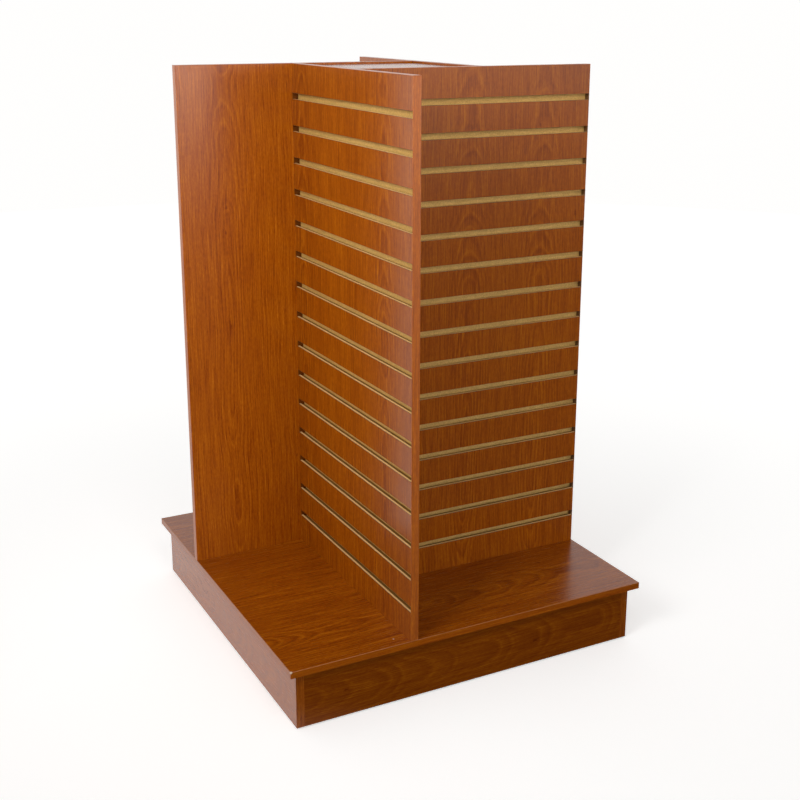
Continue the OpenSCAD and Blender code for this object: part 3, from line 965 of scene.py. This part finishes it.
def addCrossHead(bm, radius, height):
    # a head below the origin, with a cross sunk into its face
    size = crossHeadSizes
    arm, reach = radius * size["arm"], radius * size["reach"]
    square = bmesh.ops.create_grid(bm, x_segments=1, y_segments=1, size=arm)["verts"]
    bmesh.ops.translate(bm, vec=(0, 0, -height), verts=square)
    cross = [square[0].link_faces[0]]
    for side in edgesOf(square):
        outwards = (side.verts[0].co + side.verts[1].co) / 2 + upwards * height
        pulled = bmesh.ops.extrude_edge_only(bm, edges=[side])["geom"]
        bmesh.ops.translate(bm, vec=outwards.normalized() * (reach - arm), verts=vertsIn(pulled))
        cross += [g for g in pulled if isinstance(g, bmesh.types.BMFace)]
    outline = [e for f in cross for e in f.edges if e.is_boundary]
    rim = bmesh.ops.create_circle(bm, segments=size["segments"], radius=radius * size["rim"])["verts"]
    bmesh.ops.translate(bm, vec=(0, 0, -height), verts=rim)
    ring = edgesOf(rim)
    bmesh.ops.bridge_loops(bm, edges=outline + ring)
    for wide, rise in size["rings"]:
        pulled = bmesh.ops.extrude_edge_only(bm, edges=ring)["geom"]
        bmesh.ops.scale(bm, vec=(wide, wide, 1), verts=vertsIn(pulled))
        bmesh.ops.translate(bm, vec=(0, 0, rise * height), verts=vertsIn(pulled))
        ring = [g for g in pulled if isinstance(g, bmesh.types.BMEdge) and g.is_boundary]
    bmesh.ops.contextual_create(bm, geom=ring)
    bmesh.ops.inset_region(bm, faces=cross, thickness=arm * size["taper"], depth=height * size["sunk"],
                           use_even_offset=True)


def setCopies(bm, matrices):
    # what is drawn so far goes to the first place, and a copy of it to each other place
    first = bm.verts[:] + bm.edges[:] + bm.faces[:]
    for matrix in matrices[1:]:
        copied = bmesh.ops.duplicate(bm, geom=first)["geom"]
        bmesh.ops.transform(bm, matrix=matrix, verts=vertsIn(copied))
    bmesh.ops.transform(bm, matrix=matrices[0], verts=vertsIn(first))


def quarterPlaces(seats):
    # each seat is a point and a direction in the front place; the unit repeats them by quarter turns
    return [
        Matrix.Rotation(place * math.pi / 2, 4, "Z") @ Matrix.Translation(point)
        @ direction.to_track_quat("Z", "Y").to_matrix().to_4x4()
        for place in range(4) for point, direction in seats
    ]


smallScrew = {"radius": 0.002, "headRadius": 0.0036, "head": 0.0022, "pitch": 0.0018}
screwSizes = {
    "board_screws": {"radius": 0.0025, "headRadius": 0.005, "head": 0.003, "pitch": 0.0024, "length": 0.060},
    "deck_screws": {**smallScrew, "length": 0.040},
    "block_screws": {**smallScrew, "length": 0.0598},
    "cleat_screws": {**smallScrew, "length": 0.02785},
    "plain": 0.4,  # part of the length without a thread
    "tip": 2.2,  # length of the point, in radii
    "rooted": 0.2,  # part of the head's height that the shank runs into it
}
seatSizes = {
    "boardSetback": 0.060,  # of a board's end screws from the deck's edge and the board's inner end
    "deckScrewIn": 0.041,  # from the kick boards' inner faces
    "blockScrewIn": 0.010,
    "blockScrewAt": (0.5, 0.86),  # of the kick's height
    "cleatFirst": 0.0686,  # from the two sides of the core
    "cleatLast": 0.061,
}


def screwSeats():
    size = seatSizes
    outer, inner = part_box("deck_band_front")[0].y, boardHigh.y
    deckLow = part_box("deck")[0].z
    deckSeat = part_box("deck_screws")[0].z + screwSizes["deck_screws"]["head"]
    kickLow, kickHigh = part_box("kick_left")
    blockHeights = [kickLow.z + part * (kickHigh.z - kickLow.z) for part in size["blockScrewAt"]]
    deckIn, blockIn = kickHigh.x + size["deckScrewIn"], kickHigh.x + size["blockScrewIn"]
    head = smallScrew["head"]
    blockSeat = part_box("corner_block_front_left")[1].x - head
    cleatLow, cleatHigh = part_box("cap_cleat_front")
    cleatZ = (cleatLow.z + cleatHigh.z) / 2
    return {
        "board_screws": [(Vector((middleX, y, deckLow)), upwards)
                         for y in (outer + size["boardSetback"], coreX, inner - size["boardSetback"])],
        "deck_screws": [(Vector((deckIn, deckIn, deckSeat)), upwards)],
        "block_screws": [(Vector((blockSeat, blockIn, blockHeights[0])), -sideways),
                         (Vector((blockIn, blockSeat, blockHeights[1])), -forwards)],
        "cleat_screws": [(Vector((cleatHigh.x - head, y, cleatZ)), -sideways)
                         for y in (coreX + size["cleatFirst"], inner - size["cleatLast"])],
    }


def makeScrews():
    for name, seats in screwSeats().items():
        size = screwSizes[name]
        radius, length, pitch = size["radius"], size["length"], size["pitch"]
        root = radius - pitch * threadSizes["depth"]
        rooted = size["head"] * screwSizes["rooted"]
        threadLow, threadHigh = length * screwSizes["plain"], length - radius * screwSizes["tip"]
        bm = bmesh.new()
        addCrossHead(bm, size["headRadius"], size["head"])
        addRound(bm, (0, 0, -rooted), [
            (radius, 0, 0), (0, 0, threadLow + rooted), (root - radius, 0, pitch / 2), (-root, 0, 0),
        ], steps=threadSizes["steps"])
        addThread(bm, radius, pitch, threadLow, threadHigh)
        addRound(bm, (0, 0, threadHigh - pitch / 4), [
            (root, 0, 0), (0, 0, pitch / 4), (-root, 0, length - threadHigh),
        ], steps=threadSizes["steps"])
        setCopies(bm, quarterPlaces(seats))
        finishPiece(name + "_threaded", bm, [zincSteel], [name])


camBoltSizes = {
    "radius": 0.003,
    "neck": 0.0019,  # radius
    "head": 0.0022,  # length
    "neckLength": 0.004,
    "inset": 0.034,  # from the cam to the board's inner end
    "bite": 0.011,  # in the next board
    "threaded": 0.95,  # part of the bite
    "pitch": 0.0016,
    "slats": (1, 7, 13),
    "edge": 0.0004,
}


def makeCamBolts():
    size = camBoltSizes
    radius, neck, inset = size["radius"], size["neck"], size["inset"]
    root = radius - size["pitch"] * threadSizes["depth"]
    shank = inset - size["head"] - size["neckLength"]
    bm = bmesh.new()
    addRound(bm, (0, 0, 0), [
        (radius, 0, 0), (0, 0, size["head"]), (neck - radius, 0, 0), (0, 0, size["neckLength"]),
        (radius - neck, 0, 0), (0, 0, shank), (root - radius, 0, 0), (0, 0, size["bite"]), (-root, 0, 0),
    ], size["edge"])
    addThread(bm, radius, size["pitch"], inset, inset + size["bite"] * size["threaded"])
    firstMiddle = boardTop - boardSizes["firstGroove"]
    heights = [firstMiddle - (slat - 0.5) * boardSizes["step"] for slat in size["slats"]]
    seats = [(Vector((middleX, boardHigh.y - inset, z)), forwards) for z in heights]
    setCopies(bm, quarterPlaces(seats))
    finishPiece("cam_bolts_turned", bm, [zincSteel], ["cam_bolts"])


footSizes = {
    "padRadius": 0.016,
    "pad": 0.005,  # thickness
    "padEdge": 0.001,
    "padSteps": 64,
    "neckRadius": 0.009,
    "socket": 0.00402,  # radius
    "socketFloor": 0.003,
    "stem": 0.00397,  # radius
    "pitch": 0.0254 / 18,
    "hexRadius": 0.0075,
    "hexLow": 0.0093,
    "hexHigh": 0.0142,
    "hexEdge": 0.0005,
    "point": 0.0016,  # length of the stem's plain end
    "barrel": 0.0054,  # radius of the nut's barrel
    "flange": 0.0015,
    "nutEdge": 0.0003,
    "nutSteps": 48,
}


def drawPad(bm, neckTop):
    size = footSizes
    addRound(bm, (0, 0, 0), [
        (size["padRadius"], 0, 0), (0, 0, size["pad"]), (size["neckRadius"] - size["padRadius"], 0, 0),
        (0, 0, neckTop - size["pad"]), (size["socket"] - size["neckRadius"], 0, 0),
        (0, 0, size["socketFloor"] - neckTop), (-size["socket"], 0, 0),
    ], size["padEdge"], steps=size["padSteps"])


def drawStem(bm, stemTop):
    size = footSizes
    radius, point, floor = size["stem"], size["point"], size["socketFloor"]
    root = radius - size["pitch"] * threadSizes["depth"]
    low, high = size["hexLow"], size["hexHigh"]
    hexagon = bmesh.ops.create_cone(bm, cap_ends=True, segments=6, radius1=size["hexRadius"],
                                    radius2=size["hexRadius"], depth=high - low)["verts"]
    bmesh.ops.rotate(bm, verts=hexagon, cent=(0, 0, 0), matrix=Matrix.Rotation(math.pi / 6, 3, "Z"))
    bmesh.ops.translate(bm, vec=(0, 0, (high + low) / 2), verts=hexagon)
    ease(bm, bm.edges[:], size["hexEdge"])
    addRound(bm, (0, 0, floor), [(radius, 0, 0), (0, 0, low - floor), (-radius, 0, 0)])
    addThread(bm, radius, size["pitch"], high - size["hexEdge"], stemTop - point)
    addRound(bm, (0, 0, stemTop - 2 * point), [(root, 0, 0), (0, 0, 2 * point), (-root, 0, 0)],
             size["hexEdge"])


def makeFeet():
    size = footSizes
    low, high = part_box("foot_pad_front_left")
    axis = Vector(((low.x + high.x) / 2, (low.y + high.y) / 2, 0))
    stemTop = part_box("foot_stem_front_left")[1].z
    for place, corner in enumerate(corners):
        turned = Matrix.Rotation(place * math.pi / 2, 4, "Z") @ Matrix.Translation(axis)
        pad, stem = "foot_pad_" + corner, "foot_stem_" + corner
        bm = bmesh.new()
        drawPad(bm, high.z)
        setCopies(bm, [turned])
        finishPiece(pad + "_moulded", bm, [blackPlastic], [pad], pad)
        bm = bmesh.new()
        drawStem(bm, stemTop)
        setCopies(bm, [turned])
        finishPiece(stem + "_threaded", bm, [zincSteel], [stem], stem)
    low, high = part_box("foot_nuts")
    flangeRadius = axis.x - low.x
    bm = bmesh.new()
    addRound(bm, (size["socket"], 0, 0), [
        (flangeRadius - size["socket"], 0, 0), (0, 0, size["flange"]), (size["barrel"] - flangeRadius, 0, 0),
        (0, 0, high.z - low.z - size["flange"]), (size["socket"] - size["barrel"], 0, 0),
    ], size["nutEdge"], closed=True, steps=size["nutSteps"])
    setCopies(bm, quarterPlaces([(axis + upwards * low.z, upwards)]))
    finishPiece("foot_nuts_flanged", bm, [zincSteel], ["foot_nuts"])


makeScrews()
makeCamBolts()
makeFeet()
print("fittings made")


# CAD nodes that stay as they are get the finish of their slot

nodeFinish = {
    "centre_stretcher": bareFibreboard, "kick_dowels": rawWoodSideways, "cam_discs": castZinc,
}
for place, side in enumerate(sides):
    nodeFinish["cap_cleat_" + side] = rawWoodForwards if place % 2 == 0 else rawWoodSideways
for corner in corners:
    nodeFinish["corner_block_" + corner] = rawWoodUp
for name, material in nodeFinish.items():
    mesh = nodes[name].data
    mesh.materials.clear()
    mesh.materials.append(material)
print("fittings finished:", len(nodeFinish))

lightStage()
makeFloor()
placeCamera()
